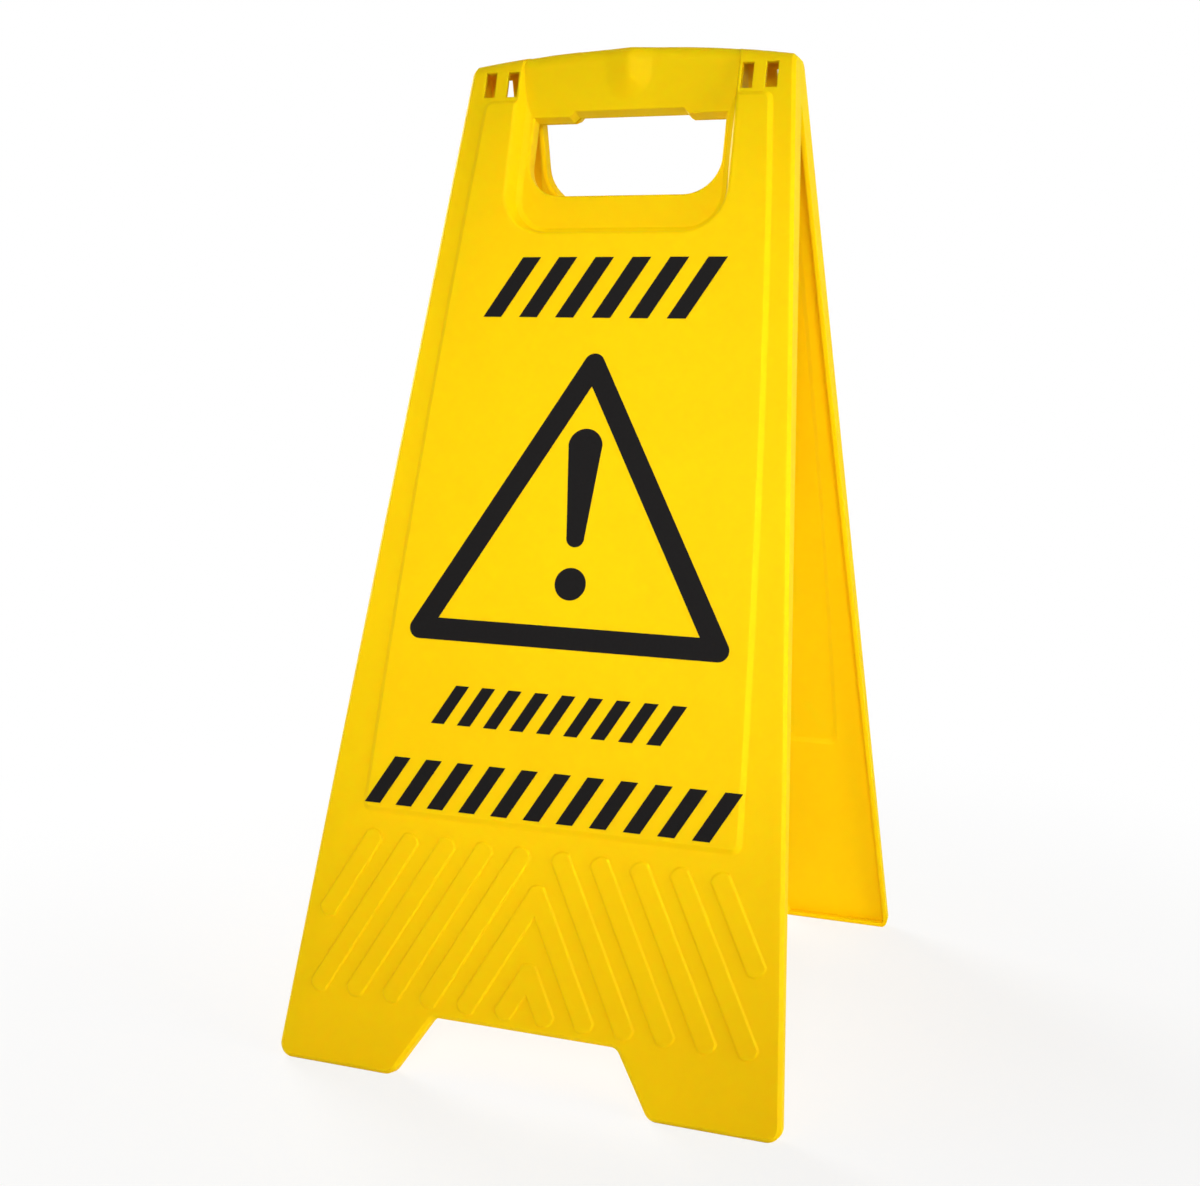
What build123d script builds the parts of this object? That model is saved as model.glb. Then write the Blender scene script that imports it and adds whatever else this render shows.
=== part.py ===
from build123d import *
from math import cos, radians, sin, tan
import os

# Folding A-frame floor sign: two identical moulded trays, hinged inside the roof that they share.
# Millimetres. X runs along the hinge, the front panel faces -Y, Z is up, the feet stand on Z = 0.
# On a panel, u is across, v is up the slope from the foot edge and w is outward from the face.

# Stance and tray
lean = 15.8                   # lean of each face from upright when open, degrees
panel_length = 607.0          # foot edge to roof edge, along the face
foot_width = 301.5
roof_width = 202.5
roof_crown = 8.0              # rise of the roof at mid width
roof_radius = 9.0             # roll from the face into the roof
edge_bevel = 2.0              # bevel round the face
wall = 2.8                    # moulded wall
sole = 3.0                    # wall under the feet
foot_depth = 7.5              # depth of the tray at the feet

# Arch between the feet
arch_foot_width = 154.0
arch_top_width = 110.0
arch_height = 35.5
foot_corner_radius = 8.0
arch_corner_radius = 6.0

# Raised print field
field_bottom = 147.0          # foot edge to field, along the face
field_top_drop = 23.0         # roof edge to field, along the face
field_bottom_margin = 23.7    # panel side to field
field_top_margin = 12.6
field_bow = 3.0               # outward bow of the field's sides
field_height = 2.0
field_bevel = 3.0             # width of the bevel round the field
field_corner_radius = 6.0
field_rim_radius = 2.5        # roll from the field into the handle recess

# Handle recess and opening
recess_drop = 107.0           # roof edge to the recess's lower rim
recess_corner_radius = 26.0
recess_depth = 9.5            # below the face
recess_draft = 20.0           # degrees
recess_floor_bevel = 2.5      # between its walls and floor
land_width = 4.5              # recess floor beside the opening
opening_drop = 80.5           # roof edge to the opening's lower edge
opening_height = 50.0
opening_corner_radius = 22.0
opening_edge_bevel = 1.0
relief_width = 69.0           # finger relief in the underside of the grip
relief_height = 3.2
relief_slant = 45.0           # slope of its ends, degrees

# Grip, of which each panel holds half
grip_half_depth = 11.0
grip_radius = 8.0
nose_height = 3.5             # soft ridge down the middle of the grip
nose_slope = 14.0             # slope of its flanks, degrees
nose_crest_margin = 2.0       # crest radius over the grip's own radius
nose_foot_radius = 15.0       # roll from its flanks into the grip
nose_length = 33.0            # top of the roof to its rounded lower end

# Hinge: two hooks at one end of each panel, a knuckle at the other
pivot_drop = 22.3             # roof edge to hinge axis, along the face
pivot_depth = 19.0            # face to hinge axis
lip_gap = 0.1                 # each panel's lip to the mid plane when open
pin_diameter = 6.0
pin_overhang = 0.7            # pin beyond the outer faces of the hooks
pin_play = 0.16               # hooks on the pin, on diameter
hook_snap = 1.0               # mouth of a hook under the pin's diameter
hook_margin = 14.6            # panel side to the outer hook's centre, at the hinge axis
hook_width = 7.0
hook_spacing = 14.7           # hook centre to hook centre
hook_offset = 5.0             # inner hook's centre to the recess rim, at the face
knuckle_play = 0.5            # each side of the knuckle
lug_wall = 3.5                # material round the pin
lug_root = 16.0               # root of a lug along the face
window_play = 0.1             # each side of a hook, seen through its window
window_rise = 1.5             # hinge axis to window, along the face
window_height = 16.0

# Chevron ribs above the feet
rib_bottom = 46.0
rib_top = 131.5
rib_angle = 28.2              # from the slope line, degrees
rib_pitch = 23.3
rib_margin = 18.8             # panel side to rib centre
rib_width = 12.0
rib_end_bow = 3.5             # rise of a rib's rounded ends
rib_height = 1.0
rib_bevel = 1.0

reach = 1000.0                # past the object in any direction
overcut = 0.3                 # cut past each side of a wall

# Places that follow from the sizes
lean_sin = sin(radians(lean))
lean_cos = cos(radians(lean))
draft_slope = tan(radians(recess_draft))
pivot_v = panel_length - pivot_drop
base_half_depth = pivot_v * lean_sin + pivot_depth * lean_cos
face_rise = edge_bevel * lean_sin
face = Plane(origin=(0, -base_half_depth, face_rise), x_dir=(1, 0, 0), z_dir=(0, -lean_cos, lean_sin))
crown_radius = ((roof_width / 2) ** 2 + roof_crown**2) / (2 * roof_crown)
opening_bottom = panel_length - opening_drop
opening_top = opening_bottom + opening_height


def slope_yz(v, w):
    """Y and Z of a point v up the slope and w outward from the face."""
    return (v * lean_sin - w * lean_cos - base_half_depth, v * lean_cos + w * lean_sin + face_rise)


def panel_half_width(v):
    """Half width of the panel at v."""
    return (foot_width + (roof_width - foot_width) * v / panel_length) / 2


pivot_z = slope_yz(pivot_v, -pivot_depth)[1]
roof_z = slope_yz(panel_length, 0)[1]
outer_hook_x = panel_half_width(pivot_v) - hook_margin
inner_hook_x = outer_hook_x - hook_spacing
knuckle_x = (inner_hook_x + outer_hook_x) / 2
knuckle_width = hook_spacing - hook_width - 2 * knuckle_play
recess_width = 2 * (inner_hook_x - hook_offset)
recess_floor_width = recess_width - 2 * recess_depth * draft_slope


def on_face(w, sketch):
    """A sketch in u and v, placed w outward from the face."""
    return face * Pos(0, 0, w) * sketch


def room():
    """Where a panel's material may be: ahead of the mid plane above the hinge axis, and below it
    ahead of the plane from the axis to the back of the feet, where the folded panels meet."""
    heel_y, heel_z = slope_yz(0, -foot_depth)
    run = (heel_y + lip_gap) / (heel_z - pivot_z)
    corners = [
        (-lip_gap, pivot_z),
        (-lip_gap, reach),
        (-reach, reach),
        (-reach, 0),
        (-lip_gap - run * pivot_z, 0),
    ]
    return extrude(Plane.YZ * make_face(Polyline(*corners, close=True)), reach, both=True)


def panel_outline(inset):
    """Panel with the arch between its feet, running on past the roof, drawn in by inset."""
    top = panel_length + 2 * roof_crown + roof_radius
    corners = [
        (-foot_width / 2, 0),
        (-arch_foot_width / 2, 0),
        (-arch_top_width / 2, arch_height),
        (arch_top_width / 2, arch_height),
        (arch_foot_width / 2, 0),
        (foot_width / 2, 0),
        (panel_half_width(top), top),
        (-panel_half_width(top), top),
    ]
    outline = make_face(Polyline(*corners, close=True))
    outline = fillet(outline.vertices().group_by(Axis.Y)[0], foot_corner_radius)
    arch_corners = outline.vertices().filter_by(lambda p: abs(p.Y - arch_height) < lip_gap)
    outline = fillet(arch_corners, arch_corner_radius)
    if inset:
        outline = offset(outline, -inset, kind=Kind.INTERSECTION)
    return outline


def under_roof(inset):
    """Everything under the crowned roof, lowered by inset."""
    disc = Pos(0, roof_z + roof_crown - inset - crown_radius) * Circle(crown_radius)
    return extrude(Plane.XZ * disc, reach, both=True)


def outer_face(solid):
    """The flat face of a tray form."""
    flat = solid.faces().filter_by(GeomType.PLANE)
    return flat.filter_by(lambda f: f.normal_at().dot(face.z_dir) > 1 - 1e-6)[0]


def tray_form(inset):
    """The tray as a square-edged block, drawn in by inset from its outer surface, open-ended behind."""
    form = extrude(on_face(-inset, panel_outline(inset)), -3 * pivot_depth) & under_roof(inset)
    return form.fillet(roof_radius - inset, [outer_face(form).edges().sort_by(Axis.Z)[-1]])


def tray_outside():
    """The tray's outer form: the block with its edges bevelled round the face and along the roof's ends."""
    form = tray_form(0)
    rolled = roof_z - roof_radius
    flank = roof_width / 2 - 2 * edge_bevel
    back_y = slope_yz(panel_length, -2 * pivot_depth)[0]
    rim = [e for e in outer_face(form).edges() if e.center().Z < rolled]
    rim += [e for e in form.edges()
            if e.center().Z > rolled and abs(e.center().X) > flank and e.center().Y < back_y]
    return form.chamfer(edge_bevel, None, rim)


def field_outline(inset):
    """Print field: straight ends, bowed sides, round corners, drawn in by inset."""
    top = panel_length - field_top_drop
    low_half = panel_half_width(field_bottom) - field_bottom_margin
    top_half = panel_half_width(top) - field_top_margin
    mid_half = (low_half + top_half) / 2 + field_bow
    mid_v = (field_bottom + top) / 2
    sides = [
        Line((-low_half, field_bottom), (low_half, field_bottom)),
        ThreePointArc((low_half, field_bottom), (mid_half, mid_v), (top_half, top)),
        Line((top_half, top), (-top_half, top)),
        ThreePointArc((-top_half, top), (-mid_half, mid_v), (-low_half, field_bottom)),
    ]
    outline = make_face(sides)
    outline = fillet(outline.vertices(), field_corner_radius)
    if inset:
        outline = offset(outline, -inset, kind=Kind.INTERSECTION)
    return outline


def field_plate(base):
    """Bevelled plate of the print field, standing on a plane at base."""
    ends = [on_face(base, field_outline(0)), on_face(base + field_height, field_outline(field_bevel))]
    return loft(ends, ruled=True)


def raised_field():
    """Print field on the face, cut round the handle recess and rolled over into it."""
    plate = field_plate(0) - recess_form(0)
    half = recess_width / 2 + field_height
    bottom = slope_yz(panel_length - recess_drop - field_height, 0)[1]
    rim = [e for e in outer_face(plate).edges() if abs(e.center().X) < half and e.center().Z > bottom]
    return plate.fillet(field_rim_radius, rim)


def recess_outline(w, grow):
    """Handle recess at w, open at the top, its walls moved out by grow."""
    spread = w * draft_slope + grow / cos(radians(recess_draft))
    half = recess_width / 2 + spread
    bottom = panel_length - recess_drop - spread
    top = panel_length + 3 * roof_crown
    outline = Pos(0, (bottom + top) / 2) * Rectangle(2 * half, top - bottom)
    return fillet(outline.vertices().group_by(Axis.Y)[0], recess_corner_radius + spread)


def recess_form(grow):
    """The space of the recess with its walls and floor moved out by grow."""
    floor = -recess_depth - grow
    rim = field_height + recess_depth
    form = loft([on_face(w, recess_outline(w, grow)) for w in (floor, rim)], ruled=True)
    floor_face = form.faces().filter_by(lambda f: f.normal_at().dot(face.z_dir) < -1 + 1e-6)[0]
    floor_edges = floor_face.edges().sort_by(Axis.Z)[:-1]
    return form.chamfer(recess_floor_bevel, None, floor_edges)


def grip_block(length, front, inset):
    """Square-edged block under the roof, reaching front ahead of the mid plane."""
    bottom = slope_yz(opening_top, -recess_depth)[1]
    block = Pos(0, 0, bottom) * Box(length, 2 * front, reach, align=(Align.CENTER, Align.CENTER, Align.MIN))
    return block & under_roof(inset)


def soften_grip(block, radius):
    """Round the upper front edge of a grip block."""
    high = block.edges().filter_by(lambda e: e.center().Z > roof_z - grip_radius)
    return block.fillet(radius, high.filter_by(lambda e: e.center().Y < -radius / 2))


def nose():
    """Ridge down the middle of the grip, with a rounded lower end."""
    slope = radians(nose_slope)
    crest_radius = grip_radius + nose_crest_margin
    tip_y = -grip_half_depth - nose_height
    crest = (crest_radius * sin(slope), tip_y + crest_radius * (1 - cos(slope)))
    flank_y = -grip_half_depth - nose_foot_radius * (1 - cos(slope))
    flank = (crest[0] + (flank_y - crest[1]) / tan(slope), flank_y)
    foot = (flank[0] + nose_foot_radius * sin(slope), -grip_half_depth)
    end_z = roof_z + roof_crown - nose_length + foot[0]
    level = Plane.XY.offset(end_z)
    half = level * make_face([
        Line(crest, flank),
        TangentArc(foot, flank, tangent=(-1, 0)),
        Polyline(foot, (foot[0], 0), (0, 0), (0, crest[1]), crest),
    ])
    ball = Pos(0, tip_y + crest_radius, end_z) * Sphere(crest_radius)
    room_ahead = Pos(0, crest[1], end_z) * Box(reach, reach, reach, align=(Align.CENTER, Align.MAX, Align.MAX))
    cap = ball & room_ahead
    top = half + mirror(half, Plane.YZ) + cap.faces().sort_by(Axis.Z)[-1]
    ridge = extrude(top, 2 * nose_length, dir=(0, 0, 1))
    return (ridge + revolve(half, Axis((0, 0, end_z), (0, 1, 0)), 180) + cap) & under_roof(0)


def opening_outline(grow):
    """Hand opening with the finger relief in its upper edge, moved out by grow."""
    width = recess_floor_width - 2 * land_width
    outline = Pos(0, (opening_bottom + opening_top) / 2) * Rectangle(width, opening_height)
    outline = fillet(outline.vertices().group_by(Axis.Y)[0], opening_corner_radius)
    relief_base = relief_width + 2 * relief_height / tan(radians(relief_slant))
    outline += Pos(0, opening_top) * Trapezoid(
        relief_base, relief_height, relief_slant, align=(Align.CENTER, Align.MIN))
    if grow:
        outline = offset(outline, grow, kind=Kind.INTERSECTION)
    return outline


def lug(x, width, hook):
    """Plate behind the face that holds the pin, with an open mouth if it is a hook."""
    root_v = panel_length - field_top_drop - field_bevel
    root = Line(slope_yz(root_v, field_height), slope_yz(root_v - lug_root, field_height))
    axis = Pos(0, pivot_z)
    outline = make_hull((axis * Circle(pin_diameter / 2 + lug_wall)).edges() + [root])
    if hook:
        mouth = Pos(0, pivot_z) * Rot(0, 0, -lean) * Rectangle(
            pin_diameter + 2 * lug_wall, pin_diameter - hook_snap, align=(Align.MIN, Align.CENTER))
        outline -= axis * Circle((pin_diameter + pin_play) / 2) + mouth
    else:
        outline -= axis * Circle(pin_diameter / 2)
    return extrude(Plane.YZ.offset(x) * outline, width / 2, both=True)


def window(x):
    """Moulding window in the face behind which a hook or a pin end lies."""
    width = hook_width + 2 * window_play
    hole = Pos(x, pivot_v + window_rise + window_height / 2) * Rectangle(width, window_height)
    return extrude(on_face(-wall / 2, hole), wall / 2 + overcut, both=True)


def rib(low, high):
    """Rib with bowed ends and bevelled sides from one point on the face to another."""
    spine = Line(low, high)
    middle = spine @ 0.5
    half = rib_width / 2
    tip = spine.length / 2 + half
    side = tip - rib_end_bow
    outline = make_face([
        Line((-side, -half), (side, -half)),
        ThreePointArc((side, -half), (tip, 0), (side, half)),
        Line((side, half), (-side, half)),
        ThreePointArc((-side, half), (-tip, 0), (-side, -half)),
    ])
    place = Pos(middle.X, middle.Y) * Rot(0, 0, spine.tangent_angle_at(0))
    crest = place * offset(outline, -rib_bevel, kind=Kind.INTERSECTION)
    return loft([on_face(0, place * outline), on_face(rib_height, crest)], ruled=True)


def chevron_ribs():
    """Ribs in mirrored pairs, running down and outward from the centreline to the panel's sides."""
    slope = tan(radians(rib_angle))
    limit = panel_half_width(rib_bottom) - rib_margin
    ribs = []
    foot_u = limit + rib_pitch
    while foot_u > 0:
        low_v = rib_bottom + max(foot_u - limit, 0) / slope
        low_u = min(foot_u, limit)
        high_v = min(rib_top, rib_bottom + foot_u / slope)
        high_u = foot_u - (high_v - rib_bottom) * slope
        ribs += [rib((side * low_u, low_v), (side * high_u, high_v)) for side in (-1, 1)]
        foot_u -= rib_pitch
    return ribs


def hand_hole():
    """The hand opening's space, right through the panel."""
    return extrude(on_face(0, opening_outline(0)), reach, both=True)


def open_recess(body):
    """Cut the hand opening through the recess floor and bevel its edge there."""
    body -= hand_hole()
    half = recess_floor_width / 2 - land_width
    rim = []
    for edge in body.edges():
        u, v, w = face.to_local_coords(edge.center())
        on_floor = abs(w + recess_depth) < lip_gap
        if on_floor and abs(u) < half + lip_gap and opening_bottom - lip_gap < v < opening_top:
            rim.append(edge)
    return body.chamfer(opening_edge_bevel, None, rim)


def panel():
    """One moulded panel, leaning back with its face towards -Y."""
    outside = tray_outside() & room()
    mid_wall = tray_form(wall / 2) + field_plate(-wall / 2)
    cavity = split(tray_form(wall), Plane.XY.offset(sole), keep=Keep.TOP)
    body = outside - cavity - field_plate(-wall)
    body += recess_form(wall) & outside
    body -= recess_form(0)
    body += raised_field()
    hollow = soften_grip(grip_block(recess_floor_width, grip_half_depth - wall, wall), grip_radius - wall)
    body -= hollow
    body += extrude(on_face(-recess_depth - wall / 2, opening_outline(wall)), -2 * pivot_depth) & room()
    body = open_recess(body)
    grip = soften_grip(grip_block(recess_width, grip_half_depth, 0) + nose(), grip_radius) & room()
    body += grip - hollow - hand_hole()
    lugs = [lug(-inner_hook_x, hook_width, True), lug(-outer_hook_x, hook_width, True)]
    lugs.append(lug(knuckle_x, knuckle_width, False))
    body += [plate & mid_wall for plate in lugs]
    for x in (inner_hook_x, outer_hook_x):
        body -= [window(x), window(-x)]
    return body + chevron_ribs()


def hinge_pin(side):
    """Plain pin through the hooks and the knuckle at one end of the hinge."""
    length = hook_spacing + hook_width + 2 * pin_overhang
    return Pos(side * knuckle_x, 0, pivot_z) * Rot(0, 90, 0) * Cylinder(pin_diameter / 2, length)


front = panel()
nodes = {
    "front_panel": front,
    "rear_panel": Rot(0, 0, 180) * front,
    "left_hinge_pin": hinge_pin(-1),
    "right_hinge_pin": hinge_pin(1),
}

os.makedirs("parts", exist_ok=True)
for name, solid in nodes.items():
    export_step(solid, f"parts/{name}.step")
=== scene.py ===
from math import acos, cos, pi, radians, sin

import bmesh
import bpy
from mathutils import Matrix, Vector


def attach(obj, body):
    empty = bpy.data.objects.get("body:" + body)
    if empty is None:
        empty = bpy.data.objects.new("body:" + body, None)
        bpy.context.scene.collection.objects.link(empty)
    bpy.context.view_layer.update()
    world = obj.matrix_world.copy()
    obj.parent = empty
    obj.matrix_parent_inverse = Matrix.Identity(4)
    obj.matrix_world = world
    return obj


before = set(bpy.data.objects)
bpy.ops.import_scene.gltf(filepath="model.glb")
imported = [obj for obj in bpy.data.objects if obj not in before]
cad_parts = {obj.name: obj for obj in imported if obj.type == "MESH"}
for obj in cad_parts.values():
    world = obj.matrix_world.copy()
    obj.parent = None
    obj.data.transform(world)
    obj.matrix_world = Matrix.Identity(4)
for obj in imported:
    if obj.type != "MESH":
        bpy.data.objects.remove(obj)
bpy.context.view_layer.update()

# Looks of a folding floor sign: moulded yellow panels, warning marks screen printed on both faces and
# a white studio. Metres, in the frame of the part: X along the hinge, the front panel faces -Y, Z is up.
# On a print field, u is across, v is up the slope from the floor and w is out of the face.

mm = 0.001

# Print: films of ink on the raised field of each face
film = 0.12 * mm                  # ink thickness, half of it sunk into the field
weld = film / 10                  # points of a film that are closer than this are one
front_facing = -0.9               # highest Y of the normal of a face that looks to the front

# Warning mark: a triangle, measured along the middle of its bar, and an exclamation mark, measured
# to the centres of its round ends
mark_base_v = 258.5 * mm
mark_apex_v = 420.0 * mm
mark_half_base = 91.0 * mm
mark_bar = 13.0 * mm
stroke_top_v = 371.0 * mm
stroke_bottom_v = 317.0 * mm
stroke_top_radius = 10.5 * mm
stroke_bottom_radius = 5.5 * mm
dot_v = 290.0 * mm
dot_radius = 9.5 * mm
arc_step = radians(6)             # along every round outline

# Bands of hazard stripes: one over the mark and two under it
stripe_lean = radians(30)
stripe_share = 0.5                # black part of the pitch
upper_band = {"centre": 466.5 * mm, "height": 37 * mm, "count": 6, "pitch": 23 * mm}
middle_band = {"centre": 214.5 * mm, "height": 23 * mm, "count": 9, "pitch": 16.5 * mm}
lower_band = {"centre": 167.5 * mm, "height": 28 * mm, "count": 11, "pitch": 20 * mm}

# Surfaces
flow_cloud = 110 * mm             # clouds in the plastic where the melt flowed
grain_size = 1.1 * mm             # about 0.3 mm on the real moulding, drawn coarser so that it shows
grain_depth = 0.03 * mm
satin_low = 0.52                  # roughness in the hollows of the grain
satin_high = 0.62                 # and on its tops
edge_round = 0.9 * mm             # softness of the moulded edges
glow_reach = 5 * mm               # how far light wanders in the plastic
acetal_cloud = 4 * mm
ink_lay = 1.5 * mm                # the mesh pitch is about 0.1 mm, drawn coarser so that it shows
ink_lay_depth = 0.02 * mm

# Camera, fitted to the sign's outline in the photograph
image_width = 1200
image_focal = 1589.8              # focal length in pixels of that width
sensor_width = 36.0               # millimetres
camera_place = Vector((313.8, -948.9, 410.8)) * mm
camera_yaw = 0.3353               # radians, to the left of +Y
camera_pitch = 0.1499             # down
camera_roll = 0.0173

# Studio
ambient = 0.24                    # world light on the object, where 1 is white
floor_half = 6.0
fade_start = 0.2                  # radius on the floor where the shadow starts to fade
fade_end = 0.75                   # radius from which the floor is as white as the background
floor_lift = 0.78                 # share of plain white in the floor as seen, inside fade_start

# Softboxes: power in watts, width of the square, spread of the beam in radians
lamp_aim = Vector((0, -0.07, 0.33))   # point that they all face
gridded_key = {"place": (0.45, -1.35, 0.9), "power": 0.98, "width": 0.45, "spread": 0.68}
left_fill = {"place": (-1.85, -0.6, 0.6), "power": 4, "width": 1.0, "spread": pi}
right_fill = {"place": (1.85, -0.4, 0.5), "power": 20, "width": 1.0, "spread": pi}
back_fill = {"place": (-1.5, 1.0, 0.7), "power": 36, "width": 1.0, "spread": pi}


def linear(code):
    """Linear colour of an sRGB hex code."""
    channels = [int(code[i:i + 2], 16) / 255 for i in (1, 3, 5)]
    return [c / 12.92 if c <= 0.04045 else ((c + 0.055) / 1.055) ** 2.4 for c in channels] + [1.0]


def add(tree, kind, inputs=None, **properties):
    """A node with its properties, and its inputs set to values or linked to other nodes' outputs."""
    node = tree.nodes.new(kind)
    for name, value in properties.items():
        setattr(node, name, value)
    for name, value in (inputs or {}).items():
        if isinstance(value, bpy.types.NodeSocket):
            tree.links.new(value, node.inputs[name])
        else:
            node.inputs[name].default_value = value
    return node


def new_material(name):
    """An empty material and its node tree."""
    material = bpy.data.materials.new(name)
    material.use_nodes = True
    material.node_tree.nodes.clear()
    return material, material.node_tree


def per(size):
    """Texture scale for a pattern of that size."""
    return 1 / size


# Sockets of a Mix node that mixes colours
MIX_FACTOR, MIX_FIRST, MIX_SECOND, MIX_COLOUR = 0, 6, 7, 2


def moulded_polypropylene():
    """Polypropylene, injection moulded in a finely spark-eroded tool: a deep yellow with a satin sheen that
    glows a little where its thin walls are lit from behind, faint clouds where the melt flowed, a pebble
    grain that only the highlights show, and softly rounded edges."""
    material, tree = new_material("moulded_polypropylene")
    place = add(tree, "ShaderNodeTexCoord").outputs["Object"]
    flow = add(tree, "ShaderNodeTexNoise", {
        "Vector": place, "Scale": per(flow_cloud), "Detail": 3.0, "Roughness": 0.55, "Distortion": 0.6})
    colour = add(tree, "ShaderNodeMix", {
        MIX_FACTOR: flow.outputs["Fac"],
        MIX_FIRST: linear("#F8D202"), MIX_SECOND: linear("#F1C804")}, data_type="RGBA")
    grain = add(tree, "ShaderNodeTexNoise", {
        "Vector": place, "Scale": per(grain_size), "Detail": 2.0, "Roughness": 0.5})
    sheen = add(tree, "ShaderNodeMapRange", {
        "Value": grain.outputs["Fac"], "From Min": 0.3, "From Max": 0.7,
        "To Min": satin_low, "To Max": satin_high})
    soft = add(tree, "ShaderNodeBevel", {"Radius": edge_round}, samples=8)
    relief = add(tree, "ShaderNodeBump", {
        "Height": grain.outputs["Fac"], "Distance": grain_depth, "Strength": 0.6,
        "Normal": soft.outputs["Normal"]})
    shader = add(tree, "ShaderNodeBsdfPrincipled", {
        "Base Color": colour.outputs[MIX_COLOUR], "Roughness": sheen.outputs["Result"],
        "Normal": relief.outputs["Normal"], "IOR": 1.49, "Specular IOR Level": 0.06,
        "Subsurface Weight": 0.45, "Subsurface Radius": (1.0, 0.6, 0.08), "Subsurface Scale": glow_reach})
    add(tree, "ShaderNodeOutputMaterial", {"Surface": shader.outputs["BSDF"]})
    return material


def moulded_acetal():
    """Acetal, moulded in a polished tool: a smooth, slightly waxy yellow with a clear highlight."""
    material, tree = new_material("moulded_acetal")
    place = add(tree, "ShaderNodeTexCoord").outputs["Object"]
    cloud = add(tree, "ShaderNodeTexNoise", {"Vector": place, "Scale": per(acetal_cloud), "Detail": 2.0})
    colour = add(tree, "ShaderNodeMix", {
        MIX_FACTOR: cloud.outputs["Fac"],
        MIX_FIRST: linear("#EFC21C"), MIX_SECOND: linear("#E6B718")}, data_type="RGBA")
    shader = add(tree, "ShaderNodeBsdfPrincipled", {
        "Base Color": colour.outputs[MIX_COLOUR], "Roughness": 0.25, "IOR": 1.48})
    add(tree, "ShaderNodeOutputMaterial", {"Surface": shader.outputs["BSDF"]})
    return material


def screen_print_ink():
    """Solvent ink, screen printed: a dense matte black, a touch uneven where the mesh laid it down."""
    material, tree = new_material("screen_print_ink")
    place = add(tree, "ShaderNodeTexCoord").outputs["Object"]
    lay = add(tree, "ShaderNodeTexNoise", {"Vector": place, "Scale": per(ink_lay), "Detail": 3.0})
    colour = add(tree, "ShaderNodeMix", {
        MIX_FACTOR: lay.outputs["Fac"],
        MIX_FIRST: linear("#0D0B0B"), MIX_SECOND: linear("#151313")}, data_type="RGBA")
    relief = add(tree, "ShaderNodeBump", {
        "Height": lay.outputs["Fac"], "Distance": ink_lay_depth, "Strength": 0.5})
    shader = add(tree, "ShaderNodeBsdfPrincipled", {
        "Base Color": colour.outputs[MIX_COLOUR], "Roughness": 0.7, "Normal": relief.outputs["Normal"],
        "IOR": 1.5, "Specular IOR Level": 0.1})
    add(tree, "ShaderNodeOutputMaterial", {"Surface": shader.outputs["BSDF"]})
    return material


def print_field():
    """Place of the front panel's print field: u, v and w axes, with the origin at floor level."""
    levels = {}
    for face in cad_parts["front_panel"].data.polygons:
        if face.normal.y < front_facing:
            levels.setdefault(round(face.normal.dot(face.center) / film), []).append(face)
    widest = max(levels.values(), key=lambda faces: sum(face.area for face in faces))
    field = max(widest, key=lambda face: face.area)
    out = field.normal.normalized()
    across = Vector((1, 0, 0))
    up = out.cross(across)
    foot = out * out.dot(field.center)
    foot -= up * (foot.z / up.z)
    place = Matrix((across, up, out)).transposed().to_4x4()
    place.translation = foot
    return place


def arc(centre, radius, start, turn):
    """Points of an arc round a centre, counterclockwise."""
    steps = max(2, round(turn / arc_step))
    angles = [start + turn * i / steps for i in range(steps + 1)]
    return [Vector((centre.x + radius * cos(a), centre.y + radius * sin(a))) for a in angles]


def hull_outline(first, first_radius, second, second_radius):
    """Outline round two circles, one above the other."""
    side = acos((first_radius - second_radius) / (first - second).length)
    return (arc(first, first_radius, pi / 2 - side, 2 * side)
            + arc(second, second_radius, pi / 2 + side, 2 * pi - 2 * side))


def warning_mark():
    """Outlines of the warning triangle, a bar with round outer corners, and its exclamation mark."""
    right = Vector((mark_half_base, mark_base_v))
    apex = Vector((0, mark_apex_v))
    left = Vector((-mark_half_base, mark_base_v))
    corners = [right, apex, left]
    outer, inner = [], []
    for i, corner in enumerate(corners):
        arriving = (corner - corners[i - 1]).normalized()
        leaving = (corners[(i + 1) % len(corners)] - corner).normalized()
        turn = arriving.angle(leaving)
        start = Vector((arriving.y, -arriving.x))
        outer += arc(corner, mark_bar / 2, -Vector((1, 0)).angle_signed(start), turn)
        inner.append(corner + (leaving - arriving).normalized() * (mark_bar / 2 / cos(turn / 2)))
    stroke = hull_outline(Vector((0, stroke_top_v)), stroke_top_radius,
                          Vector((0, stroke_bottom_v)), stroke_bottom_radius)
    dot = arc(Vector((0, dot_v)), dot_radius, 0, 2 * pi)[:-1]
    return [outer, inner, stroke, dot]


def film_mesh(name, outlines):
    """Ink film over flat outlines, where one inside another is a hole."""
    flat = bpy.data.curves.new(name, "CURVE")
    flat.dimensions = "2D"
    flat.fill_mode = "BOTH"
    flat.extrude = film / 2
    for outline in outlines:
        spline = flat.splines.new("POLY")
        spline.points.add(len(outline) - 1)
        spline.use_cyclic_u = True
        for point, spot in zip(spline.points, outline):
            point.co = (spot.x, spot.y, 0, 1)
    drawn = bpy.data.objects.new(name, flat)
    mesh = bpy.data.meshes.new_from_object(drawn)
    bpy.data.objects.remove(drawn)
    return mesh


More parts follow.
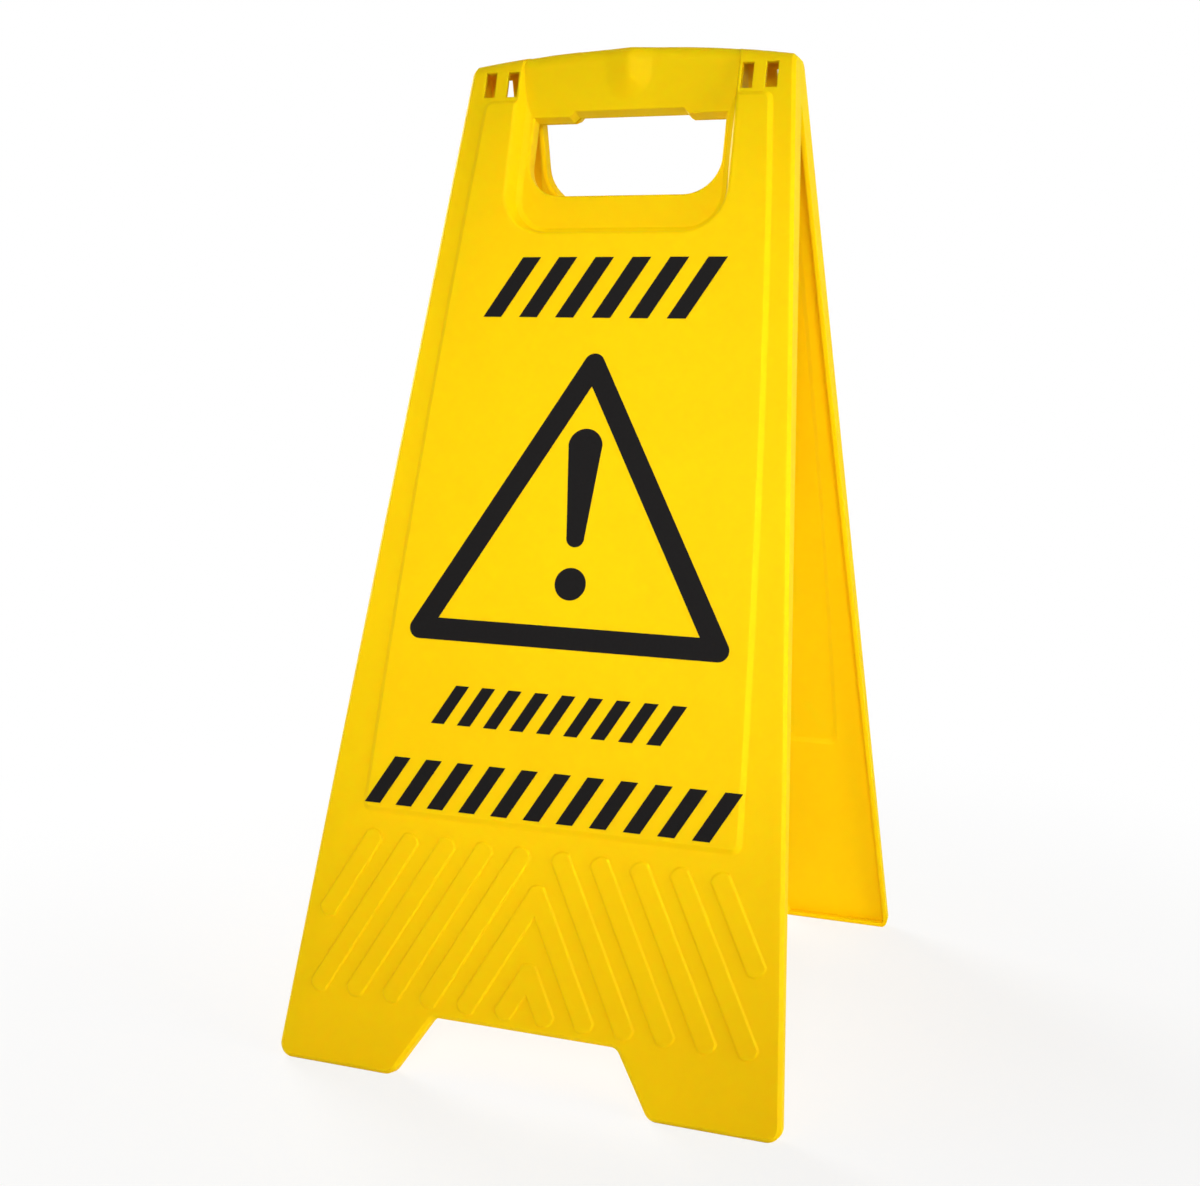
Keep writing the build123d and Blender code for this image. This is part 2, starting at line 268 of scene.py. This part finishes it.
def stripe_tree():
    """Node tree that lays a band of leaning stripes about the origin."""
    tree = bpy.data.node_groups.new("hazard_stripes", "GeometryNodeTree")
    tree.interface.new_socket("Geometry", in_out="OUTPUT", socket_type="NodeSocketGeometry")
    for name, kind in (("Count", "Int"), ("Pitch", "Float"), ("Stripe Width", "Float"),
                       ("Band Height", "Float"), ("Lean", "Float"), ("Film", "Float"), ("Ink", "Material")):
        tree.interface.new_socket(name, in_out="INPUT", socket_type="NodeSocket" + kind)
    given = add(tree, "NodeGroupInput").outputs
    size = add(tree, "ShaderNodeCombineXYZ", {
        "X": given["Stripe Width"], "Y": given["Band Height"], "Z": given["Film"]})
    block = add(tree, "GeometryNodeMeshCube", {"Size": size.outputs["Vector"]})
    position = add(tree, "GeometryNodeInputPosition")
    spot = add(tree, "ShaderNodeSeparateXYZ", {"Vector": position.outputs["Position"]})
    slope = add(tree, "ShaderNodeMath", {0: given["Lean"]}, operation="TANGENT")
    shift = add(tree, "ShaderNodeMath", {
        0: spot.outputs["Y"], 1: slope.outputs["Value"]}, operation="MULTIPLY")
    push = add(tree, "ShaderNodeCombineXYZ", {"X": shift.outputs["Value"]})
    stripe = add(tree, "GeometryNodeSetPosition", {
        "Geometry": block.outputs["Mesh"], "Offset": push.outputs["Vector"]})
    last = add(tree, "ShaderNodeMath", {0: given["Count"], 1: 1.0}, operation="SUBTRACT")
    run = add(tree, "ShaderNodeMath", {0: last.outputs["Value"], 1: given["Pitch"]}, operation="MULTIPLY")
    half = add(tree, "ShaderNodeMath", {0: run.outputs["Value"], 1: -0.5}, operation="MULTIPLY")
    start = add(tree, "ShaderNodeCombineXYZ", {"X": half.outputs["Value"]})
    step = add(tree, "ShaderNodeCombineXYZ", {"X": given["Pitch"]})
    line = add(tree, "GeometryNodeMeshLine", {
        "Count": given["Count"], "Start Location": start.outputs["Vector"],
        "Offset": step.outputs["Vector"]})
    row = add(tree, "GeometryNodeInstanceOnPoints", {
        "Points": line.outputs["Mesh"], "Instance": stripe.outputs["Geometry"]})
    solid = add(tree, "GeometryNodeRealizeInstances", {"Geometry": row.outputs["Instances"]})
    inked = add(tree, "GeometryNodeSetMaterial", {
        "Geometry": solid.outputs["Geometry"], "Material": given["Ink"]})
    add(tree, "NodeGroupOutput", {"Geometry": inked.outputs["Geometry"]})
    return tree


def stripe_band(tree, band, ink):
    """Mesh of one band of stripes, in its place up the slope."""
    sizes = {"Count": band["count"], "Pitch": band["pitch"], "Stripe Width": stripe_share * band["pitch"],
             "Band Height": band["height"], "Lean": stripe_lean, "Film": film, "Ink": ink}
    holder = bpy.data.objects.new("band", bpy.data.meshes.new("band"))
    bpy.context.scene.collection.objects.link(holder)
    modifier = holder.modifiers.new("stripes", "NODES")
    modifier.node_group = tree
    for socket in tree.interface.items_tree:
        if socket.in_out == "INPUT":
            modifier[socket.identifier] = sizes[socket.name]
    bpy.context.view_layer.update()
    mesh = bpy.data.meshes.new_from_object(holder.evaluated_get(bpy.context.evaluated_depsgraph_get()))
    holder.modifiers.remove(modifier)
    bpy.data.objects.remove(holder)
    mesh.transform(Matrix.Translation((0, band["centre"], 0)))
    return mesh


def print_piece(name, films, place, ink, body):
    """One printed piece of several films, laid on a print field and carried by its panel."""
    merged = bmesh.new()
    for mesh in films:
        merged.from_mesh(mesh)
    merged.transform(place)
    bmesh.ops.remove_doubles(merged, verts=merged.verts, dist=weld)
    bmesh.ops.recalc_face_normals(merged, faces=merged.faces)
    mesh = bpy.data.meshes.new(name)
    merged.to_mesh(mesh)
    merged.free()
    mesh.materials.append(ink)
    piece = bpy.data.objects.new(name, mesh)
    bpy.context.scene.collection.objects.link(piece)
    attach(piece, body)


def studio_background(tree):
    """1 for rays that show the background: straight from the camera, mirrored or through glass."""
    path = add(tree, "ShaderNodeLightPath").outputs
    direct = add(tree, "ShaderNodeMath", {
        0: path["Is Camera Ray"], 1: path["Is Glossy Ray"]}, operation="MAXIMUM")
    shown = add(tree, "ShaderNodeMath", {
        0: direct.outputs["Value"], 1: path["Is Transmission Ray"]}, operation="MAXIMUM")
    return shown.outputs["Value"]


def white_world():
    """Even white world: white as seen, softer as light."""
    world = bpy.data.worlds.new("white_studio")
    world.use_nodes = True
    tree = world.node_tree
    tree.nodes.clear()
    seen = studio_background(tree)
    strength = add(tree, "ShaderNodeMath", {0: seen, 1: 1 - ambient, 2: ambient}, operation="MULTIPLY_ADD")
    light = add(tree, "ShaderNodeBackground", {
        "Color": linear("#FFFFFF"), "Strength": strength.outputs["Value"]})
    add(tree, "ShaderNodeOutputWorld", {"Surface": light.outputs["Background"]})
    bpy.context.scene.world = world


def white_floor_paint():
    """Matte white floor paint: it keeps a soft shadow beside the sign and is as white as the background
    further off."""
    material, tree = new_material("white_floor_paint")
    place = add(tree, "ShaderNodeTexCoord").outputs["Object"]
    distance = add(tree, "ShaderNodeVectorMath", {0: place}, operation="LENGTH")
    fade = add(tree, "ShaderNodeMapRange", {
        "Value": distance.outputs["Value"], "From Min": fade_start, "From Max": fade_end,
        "To Min": floor_lift, "To Max": 1.0}, interpolation_type="SMOOTHSTEP")
    seen = studio_background(tree)
    share = add(tree, "ShaderNodeMath", {0: fade.outputs["Result"], 1: seen}, operation="MULTIPLY")
    paint = add(tree, "ShaderNodeBsdfDiffuse", {"Color": linear("#F7F7F7")})
    glow = add(tree, "ShaderNodeEmission", {"Color": linear("#FFFFFF"), "Strength": 1.0})
    mixed = add(tree, "ShaderNodeMixShader", {
        0: share.outputs["Value"], 1: paint.outputs["BSDF"], 2: glow.outputs["Emission"]})
    add(tree, "ShaderNodeOutputMaterial", {"Surface": mixed.outputs["Shader"]})
    return material


def studio_floor():
    """Level floor under the sign, far wider than the view."""
    corners = [(-floor_half, -floor_half, 0), (floor_half, -floor_half, 0),
               (floor_half, floor_half, 0), (-floor_half, floor_half, 0)]
    mesh = bpy.data.meshes.new("studio_floor")
    mesh.from_pydata(corners, [], [(0, 1, 2, 3)])
    mesh.materials.append(white_floor_paint())
    floor = bpy.data.objects.new("studio_floor", mesh)
    bpy.context.scene.collection.objects.link(floor)


def softbox(name, place, power, width, spread):
    """Square soft light at a place, turned to the sign."""
    lamp = bpy.data.lights.new(name, "AREA")
    lamp.shape = "SQUARE"
    lamp.size = width
    lamp.energy = power
    lamp.spread = spread
    holder = bpy.data.objects.new(name, lamp)
    holder.location = place
    holder.rotation_euler = (lamp_aim - Vector(place)).to_track_quat("-Z", "Y").to_euler()
    bpy.context.scene.collection.objects.link(holder)


def camera():
    """Camera at the photograph's viewpoint."""
    lens = bpy.data.cameras.new("camera")
    lens.sensor_width = sensor_width
    lens.lens = image_focal / image_width * sensor_width
    holder = bpy.data.objects.new("camera", lens)
    turn = (Matrix.Rotation(camera_yaw, 4, "Z") @ Matrix.Rotation(pi / 2 - camera_pitch, 4, "X")
            @ Matrix.Rotation(camera_roll, 4, "Z"))
    holder.matrix_world = Matrix.Translation(camera_place) @ turn
    bpy.context.scene.collection.objects.link(holder)
    bpy.context.scene.camera = holder


plastic = moulded_polypropylene()
acetal = moulded_acetal()
for node in ("front_panel", "rear_panel"):
    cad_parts[node].material_slots[0].material = plastic
for node in ("left_hinge_pin", "right_hinge_pin"):
    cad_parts[node].material_slots[0].material = acetal

ink = screen_print_ink()
stripes = stripe_tree()
front_field = print_field()
for body, place in (("front", front_field), ("rear", Matrix.Rotation(pi, 4, "Z") @ front_field)):
    print_piece(body + "_warning_mark", [film_mesh("mark", warning_mark())], place, ink, body)
    bands = [stripe_band(stripes, band, ink) for band in (upper_band, middle_band, lower_band)]
    print_piece(body + "_hazard_stripes", bands, place, ink, body)

white_world()
studio_floor()
softbox("gridded_key", **gridded_key)
softbox("left_fill", **left_fill)
softbox("right_fill", **right_fill)
softbox("back_fill", **back_fill)
camera()
bpy.context.scene.view_settings.view_transform = "Standard"
